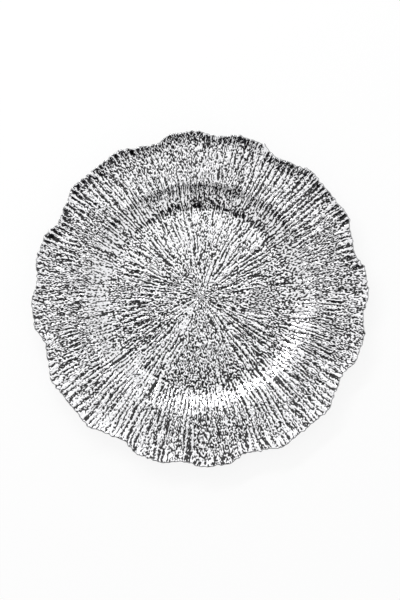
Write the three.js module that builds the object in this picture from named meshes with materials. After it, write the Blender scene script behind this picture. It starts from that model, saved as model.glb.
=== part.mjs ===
// Round charger plate with a reef-shaped rim. A moulded plastic plate carries an embossed silver face,
// which is bonded to the whole of its top and rolls over at its edge.
// Millimetres, +Z up, origin at the centre of the foot ring, on the table.
import * as THREE from "three";

// Outline of the rim
const PLATE_RADIUS = 165; // to the tips of the furthest lobes
const OUTLINE_REPEATS = 4;
const OUTLINE_TURN = -6; // degrees from +X to the first shallow notch
const LOBE_LIFT = 0.6; // height of a furthest tip above the bottom of a deep notch
// Half a repeat, from its shallow notch to the middle of its twin lobe. The other half is the mirror image.
// Each entry is a tip, a notch or a ledge: [share of the way, how far the edge lies inside PLATE_RADIUS].
const OUTLINE_STEPS = [
  [0, 5.7],
  [0.18, 1.2],
  [0.27, 2.2],
  [0.34, 1.8],
  [0.5, 8.4],
  [0.63, 5.6],
  [0.79, 0],
  [0.91, 2],
  [1, 2],
];

// Section through the plate
const WELL_RADIUS = 88; // flat floor that a dinner plate stands on
const SHOULDER_WIDTH = 28;
const SHOULDER_RISE = 9.2;
const SHOULDER_LEAN = 0.75; // below 1 the shoulder is steepest near the well
const RIM_RISE = 2.2;
const EDGE_FLICK = 2.3; // extra rise of the rim close to its edge
const FLICK_POWER = 7; // the higher, the closer to the edge that rise begins
const PLATE_WALL = 2.2;
const EDGE_ROUND = 2.2; // width of the rounding under the edge

// Foot ring and moulding gate on the underside
const FOOT_HEIGHT = 2.2;
const FOOT_INSET = 6; // middle of the ring, inside the edge of the well
const FOOT_WIDTH = 3; // flat that meets the table
const FOOT_DRAFT = 1.4; // widening of each side towards the plate
const GATE_RADIUS = 7;
const GATE_DEPTH = 0.6;
const GATE_NUB_RADIUS = 1.8;
const GATE_NUB_HEIGHT = 0.4;
const GATE_DRAFT = 0.8;

// Silver face
const FACE_THICKNESS = 0.6; // at the bottom of the grooves
const RIDGE_HEIGHT = 0.8;
const FACE_ROLL = 1.6; // width over which the face rolls down to the edge
const SEAT_GAP = 0.3; // under the face

const CENTRE_RIDGES = 15;
// The ridges fork on their way out: [share of WELL_RADIUS, ridges there for each one at the centre].
const RIDGE_FORKS = [
  [0.06, 1],
  [0.12, 2],
  [0.2, 2],
  [0.32, 4],
  [0.46, 4],
  [0.66, 8],
];

// Where the rings of the mesh lie
const SHOULDER_STEPS = [0.3, 0.5, 0.7, 1]; // shares of SHOULDER_WIDTH
const RIM_STEPS = [0.6, 0.88]; // shares of the way from the shoulder to the edge
const EDGE_ANGLES = [0, 30, 60, 90]; // degrees round the section of the edge, from the seat to the underside
const ROLL_ANGLES = [45, 0]; // degrees round the section of the roll, on its way down to the seat

const ridgePoints = (forks) => 2 * CENTRE_RIDGES * forks; // a ridge and a groove take a point each
const rimPoints = ridgePoints(RIDGE_FORKS.at(-1)[1]);
const smoothPoints = rimPoints / 2;
const shoulderRadius = WELL_RADIUS + SHOULDER_WIDTH;
const seatLevel = FOOT_HEIGHT + PLATE_WALL;
const deepestNotch = Math.max(...OUTLINE_STEPS.map(([, inset]) => inset));
const ease = (t) => t * t * (3 - 2 * t);

// How far the edge lies inside PLATE_RADIUS at an angle in degrees.
function edgeInset(angle) {
  const repeat = 360 / OUTLINE_REPEATS;
  const turned = THREE.MathUtils.euclideanModulo(angle - OUTLINE_TURN, repeat);
  const way = (2 * Math.min(turned, repeat - turned)) / repeat;
  const next = OUTLINE_STEPS.findIndex(([share]) => share > 0 && share >= way);
  const [fromShare, fromInset] = OUTLINE_STEPS[next - 1];
  const [toShare, toInset] = OUTLINE_STEPS[next];
  return THREE.MathUtils.lerp(fromInset, toInset, ease((way - fromShare) / (toShare - fromShare)));
}

const edgeRadius = (angle) => PLATE_RADIUS - edgeInset(angle);

// Height of the seat under the silver face: flat well, S-shaped shoulder, and a rim that rises outwards.
function seatHeight(radius, angle) {
  if (radius <= WELL_RADIUS) return seatLevel;
  if (radius <= shoulderRadius) {
    const way = (radius - WELL_RADIUS) / SHOULDER_WIDTH;
    return seatLevel + SHOULDER_RISE * ease(way ** SHOULDER_LEAN);
  }
  const out = (radius - shoulderRadius) / (edgeRadius(angle) - shoulderRadius);
  const flick = EDGE_FLICK * out ** FLICK_POWER;
  const lift = LOBE_LIFT * (1 - edgeInset(angle) / deepestNotch);
  return seatLevel + SHOULDER_RISE + RIM_RISE * out + flick + lift * ease(out);
}

// A ring of points about the axis: how many there are, and the [radius, height] at an angle in degrees.
const ring = (count, place) => ({ count, place });
const circle = (count, radius, height) => ring(count, () => [radius, height]);
const centre = (height) => circle(1, 0, height);
const rimRadius = (share, angle) => THREE.MathUtils.lerp(shoulderRadius, edgeRadius(angle), share);

// A ring that follows the edge at a distance inside it and at a height above the seat.
const alongEdge = (inside, above) =>
  ring(rimPoints, (angle) => {
    const radius = edgeRadius(angle) - inside;
    return [radius, seatHeight(radius, angle) + above];
  });

// Rings round a quarter of an ellipse that ends at the edge: its width, its height from the level of the seat
// plus an offset, and the angles of the rings in degrees.
const quarterRound = (width, height, offset, angles) =>
  angles.map((degrees) => {
    const turn = THREE.MathUtils.degToRad(degrees);
    return alongEdge(width * (1 - Math.cos(turn)), offset + height * Math.sin(turn));
  });

// Rings of a smooth skin that follows the seat at a height above it, from the edge of the well to the rim.
function smoothRings(above) {
  const onSeat = (radius) =>
    ring(smoothPoints, (angle) => [radius(angle), seatHeight(radius(angle), angle) + above]);
  return [
    onSeat(() => WELL_RADIUS),
    ...SHOULDER_STEPS.map((share) => onSeat(() => WELL_RADIUS + share * SHOULDER_WIDTH)),
    ...RIM_STEPS.map((share) => onSeat((angle) => rimRadius(share, angle))),
  ];
}

// A closed solid from rings listed outwards over the top and back inwards underneath.
function solidOfRings(rings) {
  const points = [];
  const loops = rings.map(({ count, place }) =>
    Array.from({ length: count }, (_, i) => {
      const angle = (360 * i) / count;
      const [radius, height] = place(angle, i);
      const turn = THREE.MathUtils.degToRad(angle);
      points.push(radius * Math.cos(turn), radius * Math.sin(turn), height);
      return points.length / 3 - 1;
    }),
  );
  const faces = [];
  for (let k = 1; k < loops.length; k++) joinLoops(loops[k - 1], loops[k], faces);
  const geometry = new THREE.BufferGeometry();
  geometry.setAttribute("position", new THREE.Float32BufferAttribute(points, 3));
  geometry.setIndex(faces);
  geometry.computeVertexNormals();
  return geometry;
}

// Triangles between two loops. The loop with fewer points waits at each of its points for the other.
function joinLoops(inner, outer, faces) {
  const steps = Math.max(inner.length, outer.length);
  const at = (loop, step) => loop[Math.floor((step * loop.length) / steps) % loop.length];
  for (let step = 0; step < steps; step++) {
    const innerNow = at(inner, step);
    const innerNext = at(inner, step + 1);
    const outerNow = at(outer, step);
    const outerNext = at(outer, step + 1);
    if (outerNow !== outerNext) faces.push(innerNow, outerNow, outerNext);
    if (innerNow !== innerNext) faces.push(innerNow, outerNext, innerNext);
  }
}

// Height of the relief at a point of a ring: odd points are grooves, and even ones are ridges, no two alike.
function relief(i, ringIndex) {
  const uneven = THREE.MathUtils.seededRandom(1 + i + ringIndex * rimPoints);
  return i % 2 ? 0 : RIDGE_HEIGHT * (0.5 + 0.5 * uneven);
}

// The moulded plate: seat, rounded edge, underside, foot ring and gate mark.
function mouldedPlate() {
  const footRadius = WELL_RADIUS - FOOT_INSET;
  const footRing = [
    [footRadius + FOOT_WIDTH / 2 + FOOT_DRAFT, FOOT_HEIGHT],
    [footRadius + FOOT_WIDTH / 2, 0],
    [footRadius - FOOT_WIDTH / 2, 0],
    [footRadius - FOOT_WIDTH / 2 - FOOT_DRAFT, FOOT_HEIGHT],
  ];
  const gateFloor = FOOT_HEIGHT + GATE_DEPTH;
  const gate = [
    [GATE_RADIUS + GATE_DRAFT, FOOT_HEIGHT],
    [GATE_RADIUS, gateFloor],
    [GATE_NUB_RADIUS + GATE_DRAFT, gateFloor],
    [GATE_NUB_RADIUS, gateFloor - GATE_NUB_HEIGHT],
  ];
  const gatePoints = smoothPoints / 4;
  return solidOfRings([
    centre(seatLevel),
    ...smoothRings(0),
    ...quarterRound(EDGE_ROUND, -PLATE_WALL, 0, EDGE_ANGLES),
    ...smoothRings(-PLATE_WALL).reverse(),
    ...footRing.map(([radius, height]) => circle(smoothPoints, radius, height)),
    ...gate.map(([radius, height]) => circle(gatePoints, radius, height)),
    centre(gateFloor - GATE_NUB_HEIGHT),
  ]);
}

// The silver face: ridges and grooves that fan out from the centre, on a smooth back that lies on the seat.
function silverFace() {
  const back = SEAT_GAP;
  const front = SEAT_GAP + FACE_THICKNESS;
  const ridged = (count, radius, ringIndex) =>
    ring(count, (angle, i) => [
      radius(angle),
      seatHeight(radius(angle), angle) + front + relief(i, ringIndex),
    ]);
  const rings = [
    ...RIDGE_FORKS.map(([share, forks]) => [() => share * WELL_RADIUS, ridgePoints(forks)]),
    [() => WELL_RADIUS, rimPoints],
    ...SHOULDER_STEPS.map((share) => [() => WELL_RADIUS + share * SHOULDER_WIDTH, rimPoints]),
    ...RIM_STEPS.map((share) => [(angle) => rimRadius(share, angle), rimPoints]),
    [(angle) => edgeRadius(angle) - FACE_ROLL, rimPoints],
  ];
  return solidOfRings([
    centre(seatLevel + front),
    ...rings.map(([radius, count], index) => ridged(count, radius, index)),
    ...quarterRound(FACE_ROLL, FACE_THICKNESS, back, ROLL_ANGLES),
    ...smoothRings(back).reverse(),
    centre(seatLevel + back),
  ]);
}

const paleGreyPlastic = new THREE.MeshStandardMaterial({ color: 0xc8c9cc, roughness: 0.35, metalness: 0 });
const metallisedSilver = new THREE.MeshStandardMaterial({ color: 0xdcdde1, roughness: 0.2, metalness: 1 });

function piece(name, geometry, material) {
  const mesh = new THREE.Mesh(geometry, material);
  mesh.name = name;
  return mesh;
}

const plate = new THREE.Group();
plate.add(piece("moulded_plate", mouldedPlate(), paleGreyPlastic));
plate.add(piece("silver_face", silverFace(), metallisedSilver));

export default plate;
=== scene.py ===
# %% [markdown]
# # A silver charger plate
# A charger is the large plate that lies under a dinner plate. This one is moulded in pale grey plastic,
# and its whole top is an embossed silver face: broken ridges fan out from the middle like the bark of a
# tree or the edge of a reef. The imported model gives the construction, with the two pieces at their real
# size. This lesson dresses both of them: it makes the fine relief of the face with Geometry Nodes,
# rounds the edge and the foot, and finishes the surfaces.

# %% Load the frame
import math

import bpy
import numpy as np
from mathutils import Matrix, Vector


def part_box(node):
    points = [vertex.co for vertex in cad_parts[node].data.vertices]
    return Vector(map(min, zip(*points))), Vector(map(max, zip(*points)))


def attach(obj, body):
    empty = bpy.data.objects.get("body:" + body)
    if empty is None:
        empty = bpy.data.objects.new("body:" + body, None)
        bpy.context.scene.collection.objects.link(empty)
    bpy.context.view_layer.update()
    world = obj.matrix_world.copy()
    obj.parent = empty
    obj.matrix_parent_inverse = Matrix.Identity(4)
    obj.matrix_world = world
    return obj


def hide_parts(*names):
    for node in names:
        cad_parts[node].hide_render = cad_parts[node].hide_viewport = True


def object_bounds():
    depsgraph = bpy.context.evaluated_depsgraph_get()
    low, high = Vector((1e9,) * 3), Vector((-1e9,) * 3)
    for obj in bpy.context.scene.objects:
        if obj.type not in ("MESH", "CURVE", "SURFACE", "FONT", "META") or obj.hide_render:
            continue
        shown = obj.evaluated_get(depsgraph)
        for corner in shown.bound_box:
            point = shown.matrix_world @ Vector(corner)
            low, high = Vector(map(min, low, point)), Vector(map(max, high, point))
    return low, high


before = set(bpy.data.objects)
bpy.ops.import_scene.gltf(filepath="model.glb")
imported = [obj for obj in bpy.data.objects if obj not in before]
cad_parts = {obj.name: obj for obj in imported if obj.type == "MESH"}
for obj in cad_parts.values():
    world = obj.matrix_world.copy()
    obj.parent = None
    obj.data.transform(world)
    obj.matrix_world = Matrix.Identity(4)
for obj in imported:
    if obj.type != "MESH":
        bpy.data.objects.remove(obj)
cad_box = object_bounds()
MM = 0.001  # one millimetre in Blender's metres

# %% [markdown]
# ## The section of the plate
# Both pieces follow one section: a flat well, an S-shaped shoulder, and a rim that rises towards its
# edge. The sizes are those of the construction model, in millimetres, and the height of the seat under
# the silver is read from it. Only the start of the shoulder is softer here, by up to 0.7 mm, because the
# real silver bends the light gently there. A formula is better here than the model's own facets, because
# silver shows every flat facet as a hard band of light.

# %% Sizes of the section
WELL_RADIUS = 88.0
SHOULDER_WIDTH = 28.0
SHOULDER_RISE = 9.2
SHOULDER_LEAN = 0.87  # below 1 the shoulder is steepest near the well
RIM_RISE = 2.2
EDGE_FLICK = 2.3  # extra rise of the rim close to its edge
FLICK_POWER = 7  # the higher, the closer to the edge that rise begins
LOBE_LIFT = 0.6  # height of a furthest tip above the bottom of a deep notch
PLATE_WALL = 2.2
SEAT_GAP = 0.3  # bond coat between the plate and the silver face
FACE_THICKNESS = 0.6  # of the silver face before its relief is pressed
SHOULDER_RADIUS = WELL_RADIUS + SHOULDER_WIDTH
SEAT_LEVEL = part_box("silver_face")[0].z / MM - SEAT_GAP
print(f"seat of the silver face at {SEAT_LEVEL:.2f} mm, shoulder ends at {SHOULDER_RADIUS:.0f} mm")

# %% [markdown]
# ## The outline of the rim
# The edge swings in and out in lobes and notches. The model's edge has one point on each spoke, so the
# outermost point of every spoke is the outline. A Fourier series through those points gives a smooth
# edge at any number of points. Small ripples go on top: on the real plate the ends of the ridges leave
# the edge slightly uneven.

# %% Read the outline
RIPPLE_HEIGHT = 0.5
RIPPLE_COUNTS = range(64, 200, 9)  # ripples round the whole plate, of several lengths
RIPPLE_SEED = 11


def cad_outline(node):
    """The largest radius, in millimetres, on each of the spokes that the node's points lie on."""
    points = np.array([v.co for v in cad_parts[node].data.vertices]) / MM
    radius = np.hypot(points[:, 0], points[:, 1])
    rim = radius > SHOULDER_RADIUS
    degrees = np.degrees(np.arctan2(points[rim, 1], points[rim, 0])) % 360
    spokes = np.round(degrees, 2) % 360
    return np.array([radius[rim][spokes == spoke].max() for spoke in np.unique(spokes)])


def spoke_angles(count):
    return np.linspace(0, 2 * math.pi, count, endpoint=False)


def edge_radius(count):
    """The plate's edge on evenly spaced spokes: a periodic curve through the outline, with ripples."""
    smooth = np.fft.irfft(np.fft.rfft(outline_samples), count) * count / len(outline_samples)
    draw = np.random.default_rng(RIPPLE_SEED)
    angles = spoke_angles(count)
    waves = [np.cos(ripples * angles + draw.uniform(0, 2 * math.pi)) for ripples in RIPPLE_COUNTS]
    return smooth + RIPPLE_HEIGHT * np.sum(waves, axis=0) / math.sqrt(len(waves))


outline_samples = cad_outline("moulded_plate")
NOTCH_RADIUS = outline_samples.min()
TIP_RADIUS = outline_samples.max()
print(f"{len(outline_samples)} spokes, edge from {NOTCH_RADIUS:.1f} to {TIP_RADIUS:.1f} mm")

# %% [markdown]
# ## The heights of the section
# The shoulder is an eased step, and the rim turns up more and more towards its edge. The lobes stand a
# little higher than the notches, so the height at a point also depends on how far out the edge lies on
# its spoke.


# %% Heights of the section
def ease(t):
    """A smooth step from 0 to 1."""
    t = np.clip(t, 0, 1)
    return t * t * (3 - 2 * t)


def seat_height(radius, edge):
    """Height of the seat, in millimetres, at radii on spokes whose edge lies at the given radii."""
    way = np.clip((radius - WELL_RADIUS) / SHOULDER_WIDTH, 0, 1)
    shoulder = SHOULDER_RISE * ease(way**SHOULDER_LEAN)
    out = np.clip((radius - SHOULDER_RADIUS) / (edge - SHOULDER_RADIUS), 0, 1)
    lift = LOBE_LIFT * (edge - NOTCH_RADIUS) / (TIP_RADIUS - NOTCH_RADIUS)
    return SEAT_LEVEL + shoulder + RIM_RISE * out + EDGE_FLICK * out**FLICK_POWER + lift * ease(out)


print(f"seat at the rim's tips {seat_height(TIP_RADIUS, TIP_RADIUS):.2f} mm above the table")

# %% [markdown]
# ## Solids from rings
# Both pieces are lofts: rings of points about the plate's axis, listed outwards over the top and back
# underneath. Near the middle a ring needs fewer points, so the joining function lets the shorter ring
# wait for the longer one. The result is a closed mesh. A Screw modifier couldn't give it, because the
# outline is not round.


# %% Rings of points
def spoke_ring(radius, height):
    """Points in metres of a ring whose radii and heights, in millimetres, are given spoke by spoke."""
    radius = np.atleast_1d(np.asarray(radius, float))
    angles = spoke_angles(len(radius))
    height = np.broadcast_to(height, radius.shape)
    return np.column_stack([radius * np.cos(angles), radius * np.sin(angles), height]) * MM


def section_ring(nominal, count, above):
    """A ring at a height above the seat, or below it where that is negative. Outside the shoulder it leans
    towards the shape of the edge, and its nominal radius is that on the spoke of the furthest tip."""
    edge = edge_radius(count)
    radius = np.full(count, float(nominal))
    if nominal > SHOULDER_RADIUS:
        share = (nominal - SHOULDER_RADIUS) / (TIP_RADIUS - SHOULDER_RADIUS)
        radius = SHOULDER_RADIUS + share * (edge - SHOULDER_RADIUS)
    return spoke_ring(radius, seat_height(radius, edge) + above)


def edge_ring(count, inside, above):
    """A ring at a distance inside the edge."""
    edge = edge_radius(count)
    return spoke_ring(edge - inside, seat_height(edge - inside, edge) + above)


def quarter_round(angle, width, height):
    """A point on a quarter of an ellipse that ends at the edge: how far inside the edge, how far up."""
    turn = math.radians(angle)
    return width * (1 - math.cos(turn)), height * math.sin(turn)


# %% Loft through rings
def walk_round(first, count, steps):
    """Numbers of the vertices met on a walk round a ring, back to its first one, in a number of steps."""
    return first + (np.arange(steps + 1) * count // steps) % count


def loft(rings):
    """Vertices and triangles of the closed skin through the rings."""
    starts = np.cumsum([0] + [len(ring) for ring in rings])
    faces = []
    for k in range(len(rings) - 1):
        steps = max(len(rings[k]), len(rings[k + 1]))
        inner, outer = (walk_round(starts[j], len(rings[j]), steps) for j in (k, k + 1))
        moved_in, moved_out = inner[:-1] != inner[1:], outer[:-1] != outer[1:]
        faces.append(np.column_stack([inner[:-1], outer[:-1], outer[1:]])[moved_out])
        faces.append(np.column_stack([inner[:-1], outer[1:], inner[1:]])[moved_in])
    return np.concatenate(rings), np.concatenate(faces)


def mesh_object(name, vertices, faces):
    mesh = bpy.data.meshes.new(name)
    mesh.from_pydata(vertices.tolist(), [], faces.tolist())
    mesh.validate()
    mesh.shade_smooth()
    piece = bpy.data.objects.new(name, mesh)
    bpy.context.scene.collection.objects.link(piece)
    return piece


# %% [markdown]
# ## The blank of the silver face
# The face starts as a smooth, dished blank without its pattern, and its border rolls over at the edge of
# the plate. Its points lie as close as the finest ridge needs: closer round the plate than along a
# spoke, because the ridges run along the spokes. One attribute holds each point's distance from the
# edge, so that the pattern can run out there, and another holds how steep the section is, because the
# pattern is coarser on the shoulder.

# %% Rings of the blank
ROLL_WIDTH = 1.6  # the border rolls down over this width
ROLL_ANGLES = (72, 54, 36, 18, 0)  # degrees round the roll's section, from its top to the edge
FACE_ZONES = (  # out to this radius, distance between rings, spokes
    (12, 1.5, 100),
    (25, 1.5, 200),
    (50, 1.6, 400),
    (100, 1.75, 800),
    (158, 2.4, 1600),
    (TIP_RADIUS - ROLL_WIDTH, 0.9, 1600),
)
ROLL_SPOKES = FACE_ZONES[-1][2]
BACK_RADII = (150, 135, *np.linspace(SHOULDER_RADIUS, WELL_RADIUS, 9), 40)  # of the smooth back, inwards
BACK_SPOKES = 200
NOT_IN_PATTERN = -1.0  # distance from the edge that stands for the back
SLOPE_STEP = 1.0  # the section's rise is taken over this width
GENTLE, STEEP = 0.1, 0.4  # rises over that width that count as level and as wholly steep


def steepness(radius):
    """0 in the well and on the rim, 1 on the steepest part of the shoulder, less at the upturned edge."""
    inner, outer = (seat_height(radius + side * SLOPE_STEP / 2, TIP_RADIUS) for side in (-1, 1))
    return float(np.clip((outer - inner - GENTLE) / (STEEP - GENTLE), 0, 1))


rings = [spoke_ring([0], SEAT_LEVEL + SEAT_GAP + FACE_THICKNESS)]
edge_distances = [TIP_RADIUS]
slopes = [0.0]
start = 0
for limit, step, spokes in FACE_ZONES:
    for radius in np.linspace(start, limit, round((limit - start) / step) + 1)[1:]:
        rings.append(section_ring(radius, spokes, SEAT_GAP + FACE_THICKNESS))
        edge_distances.append(TIP_RADIUS - radius)
        slopes.append(steepness(radius))
    start = limit
for angle in ROLL_ANGLES:
    inside, up = quarter_round(angle, ROLL_WIDTH, FACE_THICKNESS)
    rings.append(edge_ring(ROLL_SPOKES, inside, SEAT_GAP + up))
    edge_distances.append(inside)
    slopes.append(slopes[-1])
back_rings = [section_ring(radius, BACK_SPOKES, SEAT_GAP) for radius in BACK_RADII]
back_rings.append(spoke_ring([0], SEAT_LEVEL + SEAT_GAP))
rings += back_rings
edge_distances += [NOT_IN_PATTERN] * len(back_rings)
slopes += [0.0] * len(back_rings)
print(f"{len(rings)} rings, {len(back_rings)} of them on the back")

# %% Build the blank
silver_face = mesh_object("silver_face_skin", *loft(rings))
measures = {"edge_distance": np.array(edge_distances) * MM, "steepness": np.array(slopes)}
for name, values in measures.items():
    per_point = np.repeat(values, [len(ring) for ring in rings])
    attribute = silver_face.data.attributes.new(name, "FLOAT", "POINT")
    attribute.data.foreach_set("value", per_point.astype(np.float32))
print(f"blank of the face: {len(silver_face.data.polygons)} triangles")

# %% [markdown]
# ## One function for nodes
# A tree of nodes soon takes hundreds of lines. One small function shortens it: it adds a node, sets it
# up, fills its inputs with values or with links from other nodes, and gives an output to link on. The
# Mix node has an A and a B for each kind of value, so those are picked by number.

# %% Node helper
FLOAT_A, FLOAT_B = 2, 3  # inputs of a Mix node for plain numbers
COLOUR_A, COLOUR_B, COLOUR_OUT = 6, 7, 2  # inputs and output of a Mix node for colours


def add_node(tree, kind, *inputs, out=0, named=None, **settings):
    """Adds a node with its settings, fills its inputs in order or by name, and gives one of its outputs."""
    node = tree.nodes.new(kind)
    for name, value in settings.items():
        setattr(node, name, value)
    for key, value in [*enumerate(inputs), *(named or {}).items()]:
        if isinstance(value, bpy.types.NodeSocket):
            tree.links.new(value, node.inputs[key])
        else:
            node.inputs[key].default_value = value
    return node.outputs[out] if len(node.outputs) else None


# %% [markdown]
# ## A noise that fans out
# On the real plate a steel tool presses the pattern. Noise is the right source for it here, because the
# ridges are uneven, but plain noise has no direction. So it is read on a cylinder: a point's direction
# from the middle, times a number that sets how many cells go round, and its distance out, divided by a
# cell's length. Each cell is then a broken streak that points at the middle. Such patterns take turns on
# the way out, each with twice as many cells as the one before, so the streaks fork. The same nodes work
# in a Geometry Nodes tree and in a material, so one function serves both.

# %% Forks of a fanned pattern
PATTERN_CENTRE = (0.6 * MM, 3.2 * MM, 0)  # the ridges meet a little beyond the middle of the plate
FORK_SPREAD = 0.15  # share of a fork's radius over which one pattern gives way to the next, to each side
FORK_GAIN = 1.66  # two patterns that are half mixed lose contrast, and this gives it back


def from_centre(tree, place):
    """Distance and direction of a place from the centre of the pattern."""
    flat = add_node(tree, "ShaderNodeVectorMath", place, PATTERN_CENTRE, operation="SUBTRACT")
    flat = add_node(tree, "ShaderNodeVectorMath", flat, (1, 1, 0), operation="MULTIPLY")
    distance = add_node(tree, "ShaderNodeVectorMath", flat, operation="LENGTH", out="Value")
    return distance, add_node(tree, "ShaderNodeVectorMath", flat, operation="NORMALIZE")


def fork(tree, distance, forks, patterns):
    """Lets patterns, listed from the inside out, take turns at the radii of the forks at full contrast."""
    joined = patterns[0]
    for radius, pattern in zip(forks, patterns[1:]):
        start, end = radius * (1 - FORK_SPREAD), radius * (1 + FORK_SPREAD)
        turn = add_node(tree, "ShaderNodeMapRange", distance, start, end, interpolation_type="SMOOTHSTEP")
        joined = add_node(tree, "ShaderNodeMix", turn, named={FLOAT_A: joined, FLOAT_B: pattern})
        rest = add_node(tree, "ShaderNodeMath", 1.0, turn, operation="SUBTRACT")
        both = add_node(tree, "ShaderNodeMath", turn, rest, operation="MULTIPLY")
        gain = add_node(tree, "ShaderNodeMath", both, FORK_GAIN, 1.0, operation="MULTIPLY_ADD")
        joined = add_node(tree, "ShaderNodeMath", joined, gain, operation="MULTIPLY")
    return joined


# %% Fanned noise and waves
def fan_noise(tree, place, forks, cells, length, seed, detail=1.0):
    """Noise about 0, with so many cells round the plate outside the last fork, each of a given length."""
    distance, direction = from_centre(tree, place)
    along = add_node(tree, "ShaderNodeMath", distance, length, operation="DIVIDE")
    lift = add_node(tree, "ShaderNodeCombineXYZ", 0, 0, along)
    patterns = []
    for halvings in range(len(forks), -1, -1):
        around = cells / 2**halvings / (2 * math.pi)
        cylinder = add_node(tree, "ShaderNodeVectorMath", direction, (around, around, 0), lift,
                            operation="MULTIPLY_ADD")
        noise = add_node(tree, "ShaderNodeTexNoise", cylinder, noise_dimensions="4D", normalize=False,
                         named={"W": seed, "Scale": 1.0, "Detail": detail})
        patterns.append(noise)
    return fork(tree, distance, forks, patterns)


def fan_waves(tree, place, forks, count, shift):
    """Waves with so many crests round the plate outside the last fork, shifted by a share of a wave."""
    distance, direction = from_centre(tree, place)
    x, y = add_node(tree, "ShaderNodeSeparateXYZ", direction).node.outputs[:2]
    angle = add_node(tree, "ShaderNodeMath", y, x, operation="ARCTAN2")
    sway = add_node(tree, "ShaderNodeMath", shift, 2 * math.pi, operation="MULTIPLY")
    patterns = []
    for halvings in range(len(forks), -1, -1):
        crests = count // 2**halvings
        phase = add_node(tree, "ShaderNodeMath", angle, crests, sway, operation="MULTIPLY_ADD")
        patterns.append(add_node(tree, "ShaderNodeMath", phase, operation="SINE"))
    return fork(tree, distance, forks, patterns)


# %% [markdown]
# ## Embossing with Geometry Nodes
# The tree presses the blank. Its ridges are even waves that sway, mixed with the fan-shaped noise, so they
# keep their spacing while no two are alike. In patches they almost rest, as they do on the real face, and
# fine flecks take over. Shallow dents lie under them, and coarse bars break up the steep shoulder. Towards
# the edge the relief runs out, on some spokes sooner than on others, which leaves the ragged ends that the
# real ridges have. The ridges' height is kept as an attribute, because the finish paints shade into the
# grooves from it.

# %% Ridges in patches
RIDGES = 176  # round the rim
RIDGE_FORKS = (20 * MM, 40 * MM, 80 * MM)  # where the ridges double
REGULARITY = 0.6  # height of the even waves in the noise of the ridges
GROOVE_LEVELS = (-0.6, 0.4)  # of that noise: below them a groove's bottom, above them a ridge's top
RIDGE_REST = 0.15  # share of the ridges that is left where flecks break them up
SHOULDER_RIDGES = 0.3  # what the steepest parts add to the ridges' share
PATCH_SIZE = 22 * MM
PATCH_SEED = 0.0
PATCH_LEVELS = (0.44, 0.60)  # of the patches' noise: below them whole ridges, above them broken ones
DIAGONAL_PULL = 0.2  # how much more the ridges stand out between the plate's axes than along them


def patches(tree, place):
    """0 where the long ridges stand out, 1 where flecks break them up."""
    uneven = add_node(tree, "ShaderNodeTexNoise", place, noise_dimensions="4D",
                      named={"W": PATCH_SEED, "Scale": 1 / PATCH_SIZE, "Detail": 1.0})
    x, y = add_node(tree, "ShaderNodeSeparateXYZ", from_centre(tree, place)[1]).node.outputs[:2]
    product = add_node(tree, "ShaderNodeMath", x, y, operation="MULTIPLY")
    product = add_node(tree, "ShaderNodeMath", product, product, operation="MULTIPLY")
    # Four times that square is 0 on the axes and 1 on the diagonals.
    diagonal = add_node(tree, "ShaderNodeMath", product, 4.0, -0.5, operation="MULTIPLY_ADD")
    uneven = add_node(tree, "ShaderNodeMath", diagonal, -DIAGONAL_PULL, uneven, operation="MULTIPLY_ADD")
    return add_node(tree, "ShaderNodeMapRange", uneven, *PATCH_LEVELS, interpolation_type="SMOOTHSTEP")


def ridge_pattern(tree, size, place, steep):
    """The noise of the ridges, and the ridges from -0.5 to 0.5, weaker where flecks break them up."""
    uneven = fan_noise(tree, place, RIDGE_FORKS, 2 * RIDGES, size["Ridge length"], size["Seed"])
    sway = fan_noise(tree, place, RIDGE_FORKS, RIDGES / 2, size["Ridge length"], size["Seed"])
    sway = add_node(tree, "ShaderNodeMath", sway, size["Sway"], operation="MULTIPLY")
    waves = fan_waves(tree, place, RIDGE_FORKS, RIDGES, sway)
    waves = add_node(tree, "ShaderNodeMath", waves, REGULARITY, uneven, operation="MULTIPLY_ADD")
    ridges = add_node(tree, "ShaderNodeMapRange", waves, *GROOVE_LEVELS, interpolation_type="SMOOTHSTEP")
    ridges = add_node(tree, "ShaderNodeMath", ridges, 0.5, operation="SUBTRACT")
    broken = patches(tree, place)
    strength = add_node(tree, "ShaderNodeMix", broken, named={FLOAT_A: 1.0, FLOAT_B: RIDGE_REST})
    strength = add_node(tree, "ShaderNodeMath", steep, SHOULDER_RIDGES, strength, operation="MULTIPLY_ADD")
    return waves, add_node(tree, "ShaderNodeMath", ridges, strength, operation="MULTIPLY")


# %% Height and border of the relief
BARS = 260  # cells round the rim of the coarse bars on the shoulder and along the edge
BORDER = (0.5 * MM, 1.7 * MM)  # distances from the edge between which the relief grows


def relief_height(tree, size, place, ridges, steep):
    """Height of the ridges, dents and bars together, in metres."""
    grid = add_node(tree, "ShaderNodeMath", 1.0, size["Dent size"], operation="DIVIDE")
    dents = add_node(tree, "ShaderNodeTexNoise", place, noise_dimensions="4D",
                     named={"W": size["Seed"], "Scale": grid, "Detail": 2.0})
    height = add_node(tree, "ShaderNodeMath", dents, size["Dent height"], operation="MULTIPLY")
    height = add_node(tree, "ShaderNodeMath", ridges, size["Ridge height"], height, operation="MULTIPLY_ADD")
    bars = fan_noise(tree, place, RIDGE_FORKS, BARS, size["Bar length"], size["Seed"])
    bars = add_node(tree, "ShaderNodeMath", bars, steep, operation="MULTIPLY")
    return add_node(tree, "ShaderNodeMath", bars, size["Bar height"], height, operation="MULTIPLY_ADD")


def border_share(tree, size, waves):
    """How much of the relief a point takes: all of it, or less and less towards a ragged border."""
    inside = add_node(tree, "GeometryNodeInputNamedAttribute", "edge_distance", data_type="FLOAT")
    ragged = add_node(tree, "ShaderNodeMath", waves, size["Ragged border"], inside, operation="MULTIPLY_ADD")
    return add_node(tree, "ShaderNodeMapRange", ragged, *BORDER, interpolation_type="SMOOTHSTEP")


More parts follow.
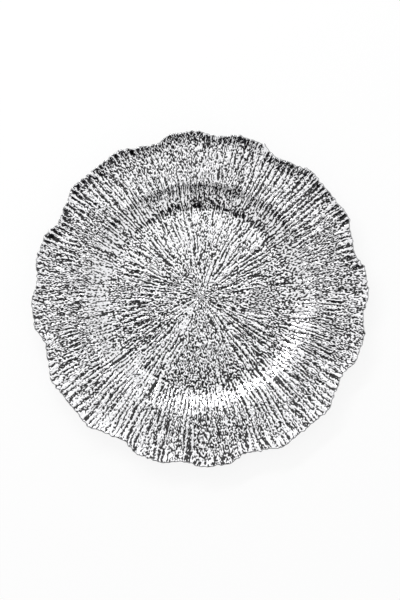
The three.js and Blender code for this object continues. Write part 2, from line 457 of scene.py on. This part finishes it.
# %% Build the embossing tree
RELIEF_INPUTS = {
    "Ridge height": 0.26 * MM,
    "Ridge length": 34.0 * MM,
    "Sway": 0.9,
    "Dent height": 0.4 * MM,
    "Dent size": 26.0 * MM,
    "Bar height": 0.4 * MM,
    "Bar length": 8.0 * MM,
    "Ragged border": 1.2 * MM,
    "Seed": 4.0,
}
EDGE_RELIEF = -0.1  # height of the ridges that the finish finds where the relief has run out


def embossing_tree():
    tree = bpy.data.node_groups.new("emboss_fanned_ridges", "GeometryNodeTree")
    tree.interface.new_socket("Geometry", in_out="INPUT", socket_type="NodeSocketGeometry")
    for name in RELIEF_INPUTS:
        tree.interface.new_socket(name, in_out="INPUT", socket_type="NodeSocketFloat")
    tree.interface.new_socket("Material", in_out="INPUT", socket_type="NodeSocketMaterial")
    tree.interface.new_socket("Geometry", in_out="OUTPUT", socket_type="NodeSocketGeometry")
    size = tree.nodes.new("NodeGroupInput").outputs
    place = add_node(tree, "GeometryNodeInputPosition")
    steep = add_node(tree, "GeometryNodeInputNamedAttribute", "steepness", data_type="FLOAT")
    waves, ridges = ridge_pattern(tree, size, place, steep)
    height = relief_height(tree, size, place, ridges, steep)
    taken = border_share(tree, size, waves)
    pressed = add_node(tree, "ShaderNodeMath", height, taken, operation="MULTIPLY")
    normal = add_node(tree, "GeometryNodeInputNormal")
    offset = add_node(tree, "ShaderNodeVectorMath", normal, operation="SCALE", named={"Scale": pressed})
    face = add_node(tree, "GeometryNodeSetPosition", size["Geometry"], named={"Offset": offset})
    relief = add_node(tree, "ShaderNodeMix", taken, named={FLOAT_A: EDGE_RELIEF, FLOAT_B: ridges})
    face = add_node(tree, "GeometryNodeStoreNamedAttribute", face, data_type="FLOAT", domain="POINT",
                    named={"Name": "relief", "Value": relief})
    face = add_node(tree, "GeometryNodeRealizeInstances", face)
    face = add_node(tree, "GeometryNodeSetMaterial", face, named={"Material": size["Material"]})
    add_node(tree, "NodeGroupOutput", face)
    return tree


embossing = embossing_tree()
print(f"embossing tree: {len(embossing.nodes)} nodes, {len(RELIEF_INPUTS)} sizes")

# %% [markdown]
# ## Metallised silver
# The silver is a thin layer of metal laid on the embossed face in a vacuum, under a clear lacquer, and one
# shader stands for both. It is bright and almost mirror-like, and fine dark flecks painted into its colour
# break it up. They are painted reflections of the dark surroundings, and painted shade where they gather in
# the grooves; some areas have fewer of them than others. Being painted in the colour, they stay dark from
# every side. The same flecks, about a millimetre wide, and larger lumps are a bump as well, which is calmer
# on the shoulder. The eye reads all this as sharp black and white flecks. The rolled border has no flecks,
# and is painted a plain grey as shade on the edge where it turns down.
# Colours are sRGB hex values, and one function makes them linear.


# %% Material helpers
def srgb(hex_colour):
    parts = [int(hex_colour[i:i + 2], 16) / 255 for i in (1, 3, 5)]
    linear = [c / 12.92 if c <= 0.04045 else ((c + 0.055) / 1.055) ** 2.4 for c in parts]
    return (*linear, 1.0)


def new_material(name):
    material = bpy.data.materials.new(name)
    material.use_nodes = True
    material.node_tree.nodes.clear()
    return material


# %% Bump of the silver
FLECK_DEPTH = 0.24 * MM
PATCH_CALM = 0.5  # share of the flecks' bump that is left where the ridges are whole
LUMP_SIZE = 6 * MM
LUMP_DEPTH = 0.24 * MM
LUMP_SEED = 3.0
SHOULDER_CALM = 0.55  # share of the bump that the steepest parts lose


def silver_bump(tree, place, flecks):
    broken = patches(tree, place)
    strength = add_node(tree, "ShaderNodeMix", broken, named={FLOAT_A: PATCH_CALM, FLOAT_B: 1.0})
    beaten = add_node(tree, "ShaderNodeMath", flecks, strength, operation="MULTIPLY")
    lumps = add_node(tree, "ShaderNodeTexNoise", place, noise_dimensions="4D", normalize=False,
                     named={"W": LUMP_SEED, "Scale": 1 / LUMP_SIZE, "Detail": 1.0})
    share = LUMP_DEPTH / FLECK_DEPTH
    beaten = add_node(tree, "ShaderNodeMath", lumps, share, beaten, operation="MULTIPLY_ADD")
    steep = add_node(tree, "ShaderNodeAttribute", attribute_name="steepness", out="Fac")
    calm = add_node(tree, "ShaderNodeMath", steep, -SHOULDER_CALM, 1.0, operation="MULTIPLY_ADD")
    beaten = add_node(tree, "ShaderNodeMath", beaten, calm, operation="MULTIPLY")
    return add_node(tree, "ShaderNodeBump", named={"Height": beaten, "Distance": FLECK_DEPTH})


# %% Tone of the silver, with painted reflections and shade
SILVER_COLOUR = "#eeeef0"
PAINTED_FLECK_LEVELS = (-0.13, 0.09)  # below them a painted dark fleck, above them plain silver
PAINTED_FLECK_TONE = 0.05  # share of the silver's colour left in a painted dark fleck, a painted reflection of the dark surroundings
GROOVE_SHADE_PULL = 0.6  # how strongly the painted flecks gather in the grooves, as painted shade
BARE_SIZE = 95 * MM  # of the areas that have fewer painted dark flecks or more
BARE_SEED = 1872.5
BARENESS = 0.09  # how strongly those areas differ
EDGE_SHADE_BAND = (0.5 * MM, 1.2 * MM)  # distances from the edge between which the painted edge shade gives way to the painted flecks
EDGE_SHADE_TONE = 0.4  # share of the silver's colour on the border: painted shade on the edge where it turns down


# Darkens the silver's colour with painted dark flecks, which are painted reflections of the dark
# surroundings and painted shade in the grooves.
def silver_tone_with_painted_shade(tree, place, flecks):
    relief = add_node(tree, "ShaderNodeAttribute", attribute_name="relief", out="Fac")
    bare = add_node(tree, "ShaderNodeTexNoise", place, noise_dimensions="4D", normalize=False,
                    named={"W": BARE_SEED, "Scale": 1 / BARE_SIZE, "Detail": 2.0})
    # Painted shade: the dark flecks gather in the grooves of the relief.
    level = add_node(tree, "ShaderNodeMath", relief, GROOVE_SHADE_PULL, flecks, operation="MULTIPLY_ADD")
    level = add_node(tree, "ShaderNodeMath", bare, BARENESS, level, operation="MULTIPLY_ADD")
    # Painted reflection: the silver's colour drops in the dark flecks.
    share = add_node(tree, "ShaderNodeMapRange", level, *PAINTED_FLECK_LEVELS, PAINTED_FLECK_TONE, 1.0,
                     interpolation_type="SMOOTHSTEP")
    inside = add_node(tree, "ShaderNodeAttribute", attribute_name="edge_distance", out="Fac")
    inside = add_node(tree, "ShaderNodeMapRange", inside, *EDGE_SHADE_BAND, interpolation_type="SMOOTHSTEP")
    # Painted shade on the rolled border: a plain grey where the edge turns down.
    share = add_node(tree, "ShaderNodeMix", inside, named={FLOAT_A: EDGE_SHADE_TONE, FLOAT_B: share})
    colour = srgb(SILVER_COLOUR)[:3]
    return add_node(tree, "ShaderNodeVectorMath", colour, operation="SCALE", named={"Scale": share})


# %% Make the silver finish
FLECK_CELLS = 720  # round the rim
FLECK_FORKS = (12 * MM, 25 * MM, 50 * MM, 100 * MM)  # where the flecks double
FLECK_LENGTH = 2.2 * MM
FLECK_SEED = 7.0
FLECK_RANGE = (-0.5, 0.5)  # of the flecks' noise, for the roughness
SILVER_ROUGHNESS = (0.05, 0.10)  # from the lowest flecks to the highest


def silver_finish():
    material = new_material("metallised_silver")
    tree = material.node_tree
    place = add_node(tree, "ShaderNodeTexCoord", out="Object")
    flecks = fan_noise(tree, place, FLECK_FORKS, FLECK_CELLS, FLECK_LENGTH, FLECK_SEED, detail=0.0)
    bump = silver_bump(tree, place, flecks)
    tone = silver_tone_with_painted_shade(tree, place, flecks)
    rough = add_node(tree, "ShaderNodeMapRange", flecks, *FLECK_RANGE, *SILVER_ROUGHNESS)
    shader = add_node(tree, "ShaderNodeBsdfPrincipled", named={
        "Base Color": tone, "Roughness": rough, "Normal": bump, "Metallic": 1.0})
    add_node(tree, "ShaderNodeOutputMaterial", shader)
    return material


silver = silver_finish()
print(f"finish {silver.name}: {len(silver.node_tree.nodes)} nodes")

# %% [markdown]
# ## Press the face
# A Geometry Nodes modifier runs the tree on the blank. Its inputs are set by the sockets' identifiers,
# which differ even where names are alike. The evaluated result then becomes the face's plain mesh, with
# the attributes that the finish reads, and the modifier is removed.


# %% Emboss the face
def emboss(piece, tree, material):
    """Runs the embossing tree on the blank and keeps the result as a plain mesh."""
    modifier = piece.modifiers.new("emboss", "NODES")
    modifier.node_group = tree
    inputs = [item for item in tree.interface.items_tree if item.in_out == "INPUT"]
    identifiers = {item.name: item.identifier for item in inputs}
    for name, value in {**RELIEF_INPUTS, "Material": material}.items():
        modifier[identifiers[name]] = value
    graph = bpy.context.evaluated_depsgraph_get()
    pressed = piece.evaluated_get(graph)
    mesh = bpy.data.meshes.new_from_object(pressed, preserve_all_data_layers=True, depsgraph=graph)
    piece.modifiers.remove(modifier)
    piece.data = mesh
    mesh.shade_smooth()


emboss(silver_face, embossing, silver)
heights = np.array([v.co.z for v in silver_face.data.vertices]) / MM
print(f"silver face: {len(silver_face.data.polygons)} triangles, top at {heights.max():.2f} mm")

# %% [markdown]
# ## The moulded plate
# Under the silver lies the plate that was moulded in one shot: its seat, the lower half of the rounded
# edge, the underside with the foot ring, and the small mark in the middle where the plastic came in. The
# model has all of this with few facets. Here the same section is lofted with rounded corners, so that
# light runs smoothly over it.

# %% Sections of the foot and the gate mark
FOOT_RADIUS = 82.0  # to the middle of the ring
FOOT_WIDTH = 3.0  # flat that meets the table, before its corners are rounded
FOOT_DRAFT = 1.4  # widening of each side towards the plate
FOOT_HEIGHT = SEAT_LEVEL - PLATE_WALL
FILLET_WIDTH, FILLET_DROP = 0.6, 0.1  # of the fillet between the ring and the plate
FOOT_CORNER = ((0.15, 0.5), (0.0, 0.2), (-0.5, 0.0))  # outwards and up from the edge of that flat
GATE_SECTION = (  # radius and depth: a shallow dish with a nub in its middle
    (9.0, 0),
    (7.8, 0.05),
    (7.2, 0.5),
    (6.6, 0.6),
    (2.8, 0.6),
    (2.2, 0.5),
    (1.9, 0.25),
    (1.0, 0.2),
)

half_foot = FOOT_WIDTH / 2
foot_outside = [
    (half_foot + FOOT_DRAFT + FILLET_WIDTH, FOOT_HEIGHT),
    (half_foot + FOOT_DRAFT, FOOT_HEIGHT - FILLET_DROP),
    *((half_foot + outwards, up) for outwards, up in FOOT_CORNER),
]
foot_section = foot_outside + [(-offset, height) for offset, height in reversed(foot_outside)]
print(f"foot ring {FOOT_HEIGHT:.2f} mm high, {2 * foot_outside[0][0]:.1f} mm wide at the plate")

# %% Build the moulded plate
PLATE_SPOKES = 720
GATE_SPOKES = 60
SHOULDER_RINGS = 13
RIM_RINGS = 9
EDGE_MARGIN = 3  # from the last of those rings to the edge, on the spoke of the furthest tip
EDGE_ROUND = 2.2  # width of the rounding under the edge
EDGE_ANGLES = (0, 15, 30, 45, 60, 75, 90)  # degrees round the edge's section, from the seat down
SEAM = 0.08  # what shows of the bond line between the silver and the plate

plate_top = SEAT_GAP - SEAM
plate_drop = -(PLATE_WALL + SEAT_GAP)
section_radii = [
    *np.linspace(WELL_RADIUS, SHOULDER_RADIUS, SHOULDER_RINGS),
    *np.linspace(SHOULDER_RADIUS, TIP_RADIUS - EDGE_MARGIN, RIM_RINGS)[1:],
]
plate_rings = [spoke_ring([0], SEAT_LEVEL + plate_top)]
plate_rings += [section_ring(radius, PLATE_SPOKES, plate_top) for radius in section_radii]
for angle in EDGE_ANGLES:
    inside, up = quarter_round(angle, EDGE_ROUND, plate_drop)
    plate_rings.append(edge_ring(PLATE_SPOKES, inside, plate_top + up))
plate_rings += [section_ring(radius, PLATE_SPOKES, -PLATE_WALL) for radius in reversed(section_radii)]
for offset, height in foot_section:
    plate_rings.append(spoke_ring(np.full(PLATE_SPOKES, FOOT_RADIUS + offset), height))
for radius, depth in GATE_SECTION:
    plate_rings.append(spoke_ring(np.full(GATE_SPOKES, radius), FOOT_HEIGHT + depth))
plate_rings.append(spoke_ring([0], FOOT_HEIGHT + GATE_SECTION[-1][1]))
moulded_plate = mesh_object("moulded_plate_body", *loft(plate_rings))
print(f"moulded plate: {len(moulded_plate.data.polygons)} triangles")

# %% [markdown]
# ## Moulded polystyrene
# The plate's own plastic is a pale grey polystyrene with a satin gloss from the polished mould. Faint
# clouds in the colour are flow marks from the gate, and a fine grain keeps the underside from looking
# like glass.

# %% Make the plastic finish
PLASTIC_SHADES = ("#bbbcbf", "#c2c3c6")  # of the flow marks, from dark to light
PLASTIC_ROUGHNESS = (0.28, 0.4)
PLASTIC_IOR = 1.59
FLOW_MARK_SIZE = 30 * MM
FLOW_MARK_LEVELS = (0.3, 0.7)  # of the clouds' noise, for the two shades
FLOW_MARK_BEND = 1.2
GRAIN_SIZE = 0.7 * MM  # coarser than the real grain, so that it shows
GRAIN_DEPTH = 0.02 * MM


def plastic_finish():
    material = new_material("moulded_polystyrene")
    tree = material.node_tree
    place = add_node(tree, "ShaderNodeTexCoord", out="Object")
    flow = add_node(tree, "ShaderNodeTexNoise", place,
                    named={"Scale": 1 / FLOW_MARK_SIZE, "Detail": 3.0, "Distortion": FLOW_MARK_BEND})
    cloud = add_node(tree, "ShaderNodeMapRange", flow, *FLOW_MARK_LEVELS)
    dark, light = (srgb(shade) for shade in PLASTIC_SHADES)
    tone = add_node(tree, "ShaderNodeMix", cloud, data_type="RGBA", out=COLOUR_OUT,
                    named={COLOUR_A: dark, COLOUR_B: light})
    grain = add_node(tree, "ShaderNodeTexNoise", place, named={"Scale": 1 / GRAIN_SIZE, "Detail": 1.0})
    bump = add_node(tree, "ShaderNodeBump", named={"Height": grain, "Distance": GRAIN_DEPTH})
    rough = add_node(tree, "ShaderNodeMapRange", flow, 0.0, 1.0, *PLASTIC_ROUGHNESS)
    shader = add_node(tree, "ShaderNodeBsdfPrincipled", named={
        "Base Color": tone, "Roughness": rough, "Normal": bump, "IOR": PLASTIC_IOR})
    add_node(tree, "ShaderNodeOutputMaterial", shader)
    return material


moulded_plate.data.materials.append(plastic_finish())
print("finish", moulded_plate.data.materials[0].name)

# %% [markdown]
# ## Attach the pieces to the frame
# Both pieces belong to the plate's one rigid body and stand for the model's nodes.

# %% Ride and replace
for piece, node, slot in ((silver_face, "silver_face", "metallised_silver"),
                          (moulded_plate, "moulded_plate", "plate_plastic")):
    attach(piece, "root")
    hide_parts(node)
    print(piece.name, "rides on root and stands for", node)

# %% [markdown]
# ## The studio
# Silver shows the room around it, so the light decides how it looks. The photograph's reflections tell
# of a white room with a bright panel beyond the plate, and of a dark space on the viewer's side. Ridge
# sides that lean to the viewer turn black, and those that lean away turn white. A black card over the
# viewer's side makes the dark part. It is seen only in reflections, so it casts no shadow and never
# comes into the picture. Most of the floor's white doesn't depend on the lamps, and the rest takes the
# plate's shadow.

# %% Finishes of the studio
FLOOR_COLOUR = "#f7f7f7"
FLOOR_GLOW = 0.85  # share of the floor's white that doesn't depend on the lamps
CARD_COLOUR = "#26262a"
WHITE = (1, 1, 1, 1)


def background_rays(tree):
    """1 for rays that show the background: of the camera, of reflections and through clear material."""
    path = add_node(tree, "ShaderNodeLightPath").node.outputs
    rays = path["Is Camera Ray"]
    for kind in ("Is Glossy Ray", "Is Transmission Ray"):
        rays = add_node(tree, "ShaderNodeMath", rays, path[kind], operation="MAXIMUM")
    return rays


def floor_finish():
    material = new_material("white_studio_floor")
    tree = material.node_tree
    paper = add_node(tree, "ShaderNodeBsdfDiffuse", srgb(FLOOR_COLOUR))
    glow = add_node(tree, "ShaderNodeEmission", WHITE, 1.0)
    seen = add_node(tree, "ShaderNodeMixShader", FLOOR_GLOW, paper, glow)
    mixed = add_node(tree, "ShaderNodeMixShader", background_rays(tree), paper, seen)
    add_node(tree, "ShaderNodeOutputMaterial", mixed)
    return material


def card_finish():
    material = new_material("black_card")
    tree = material.node_tree
    tone = add_node(tree, "ShaderNodeEmission", srgb(CARD_COLOUR), 1.0)
    add_node(tree, "ShaderNodeOutputMaterial", tone)
    return material


# %% Floor and black card
FLOOR_SIZE = 6.0
FLOOR_LEVEL = -0.05 * MM  # a hair below the foot, so that the two never lie in one plane
CARD_HEIGHT = 1.75
CARD_ANGLES = (-40.0, -5.5)  # degrees from straight up to its near and far edges, negative to the viewer
CARD_HALF_WIDTH = 0.48


def level_sheet(name, left, right, near, far, height, material):
    """A level rectangle that belongs to the studio."""
    mesh = bpy.data.meshes.new(name)
    corners = [(left, near, height), (right, near, height), (right, far, height), (left, far, height)]
    mesh.from_pydata(corners, [], [(0, 1, 2, 3)])
    mesh.materials.append(material)
    sheet = bpy.data.objects.new(name, mesh)
    bpy.context.scene.collection.objects.link(sheet)
    return sheet


half = FLOOR_SIZE / 2
level_sheet("studio_floor", -half, half, -half, half, FLOOR_LEVEL, floor_finish())
near, far = (CARD_HEIGHT * math.tan(math.radians(angle)) for angle in CARD_ANGLES)
card = level_sheet("black_card", -CARD_HALF_WIDTH, CARD_HALF_WIDTH, near, far, CARD_HEIGHT, card_finish())
card.visible_camera = card.visible_diffuse = card.visible_shadow = False
print(f"card from {near:.2f} to {far:.2f} m on the viewer's side")

# %% [markdown]
# ## The light
# The bright panel stands beyond the plate, to the left, and its reflection is the crescent on the near
# shoulder. A weak softbox overhead whitens the sides that lean away from the viewer. The world is plain
# white where it is seen or reflected, and dimmer as a light, so that the lamps and the world together
# light a matt surface at a plain level.

# %% Lamps and white world
WORLD_LIGHT = 0.72  # what the white room adds to the lamps on matt surfaces
# Of each lamp: degrees of turn from the far side to the right, degrees of tilt from straight up, then its
# distance, width and depth in metres, and its watts.
LAMPS = {
    "bright_panel": (-29, 47, 1.3, 1.0, 0.1, 6.8),
    "overhead_softbox": (0, 20, 1.7, 1.4, 0.7, 1.0),
}


def lamp_direction(turn, tilt):
    turn, tilt = math.radians(turn), math.radians(tilt)
    return Vector((math.sin(turn) * math.sin(tilt), math.cos(turn) * math.sin(tilt), math.cos(tilt)))


for name, (turn, tilt, distance, width, depth, power) in LAMPS.items():
    lamp = bpy.data.lights.new(name, "AREA")
    lamp.shape = "RECTANGLE"
    lamp.size, lamp.size_y = width, depth
    lamp.energy = power
    light = bpy.data.objects.new(name, lamp)
    direction = lamp_direction(turn, tilt)
    light.location = direction * distance
    light.rotation_euler = direction.to_track_quat("Z", "Y").to_euler()
    bpy.context.scene.collection.objects.link(light)
    print(name, "at", [round(v, 2) for v in light.location])

world = bpy.data.worlds.new("white_studio")
bpy.context.scene.world = world
world.use_nodes = True
sky = world.node_tree
sky.nodes.clear()
strength = add_node(sky, "ShaderNodeMix", background_rays(sky), named={FLOAT_A: WORLD_LIGHT, FLOAT_B: 1.0})
background = add_node(sky, "ShaderNodeBackground", WHITE, strength)
add_node(sky, "ShaderNodeOutputWorld", background)
bpy.context.scene.view_settings.view_transform = "Standard"

# %% [markdown]
# ## The camera
# The photograph looks almost straight down. The plate's width in it gives the scale, and the slightly
# shorter height gives the tilt of a few degrees towards the viewer.

# %% Place the camera
PHOTO_WIDTH, PHOTO_HEIGHT = 400, 600
PIXEL = 0.9695 * MM  # what one pixel of the photograph covers at the height of the rim
CENTRE_PIXEL = (200.1, 298.0)  # where the middle of the rim lies in the photograph
CAMERA_ELEVATION = math.radians(86)
CAMERA_DISTANCE = 2.0
RIM_LEVEL = cad_box[1][2]

away = Vector((0, -math.cos(CAMERA_ELEVATION), math.sin(CAMERA_ELEVATION)))
lens = bpy.data.cameras.new("photo_camera")
lens.sensor_fit = "VERTICAL"
lens.angle = 2 * math.atan(PHOTO_HEIGHT * PIXEL / 2 / CAMERA_DISTANCE)
lens.shift_x = (PHOTO_WIDTH / 2 - CENTRE_PIXEL[0]) / PHOTO_HEIGHT
lens.shift_y = (CENTRE_PIXEL[1] - PHOTO_HEIGHT / 2) / PHOTO_HEIGHT
camera = bpy.data.objects.new("photo_camera", lens)
camera.location = Vector((0, 0, RIM_LEVEL)) + away * CAMERA_DISTANCE
camera.rotation_euler = away.to_track_quat("Z", "Y").to_euler()
bpy.context.scene.collection.objects.link(camera)
bpy.context.scene.camera = camera
print(f"camera {CAMERA_DISTANCE} m away, field of view {math.degrees(lens.angle):.1f} degrees")
